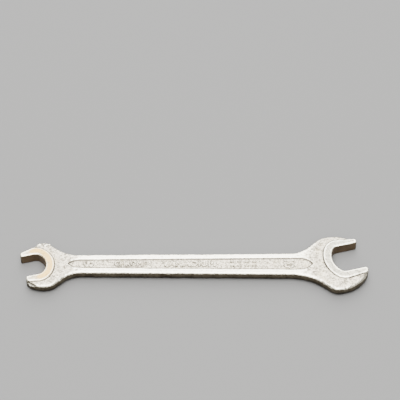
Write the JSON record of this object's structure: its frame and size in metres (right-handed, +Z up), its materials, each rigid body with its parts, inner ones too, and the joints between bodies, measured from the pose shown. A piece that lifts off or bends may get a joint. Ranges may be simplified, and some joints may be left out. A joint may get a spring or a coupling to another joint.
{
  "type": "double open-ended wrench",
  "caption": "Drop-forged wrench with an open jaw on each end of a flat shank, for hexagon bolt heads and nuts.",
  "frame": {"origin": "bottom centre of the bounding box, on the plane that the undersides of both jaw collars rest on", "axes": "+X along the shank towards the 10 mm jaw, +Y across the shank towards the 10 mm jaw's opening, +Z up, through the wrench's thickness"},
  "size_m": [0.11, 0.0218, 0.0038],
  "materials": {
    "plated_steel": "satin nickel or chrome plating over a pitted forging, rims and edges worn bright"
  },
  "bodies": {
    "root": {"wrench_forging": "plated_steel"}
  },
  "joints": []
}
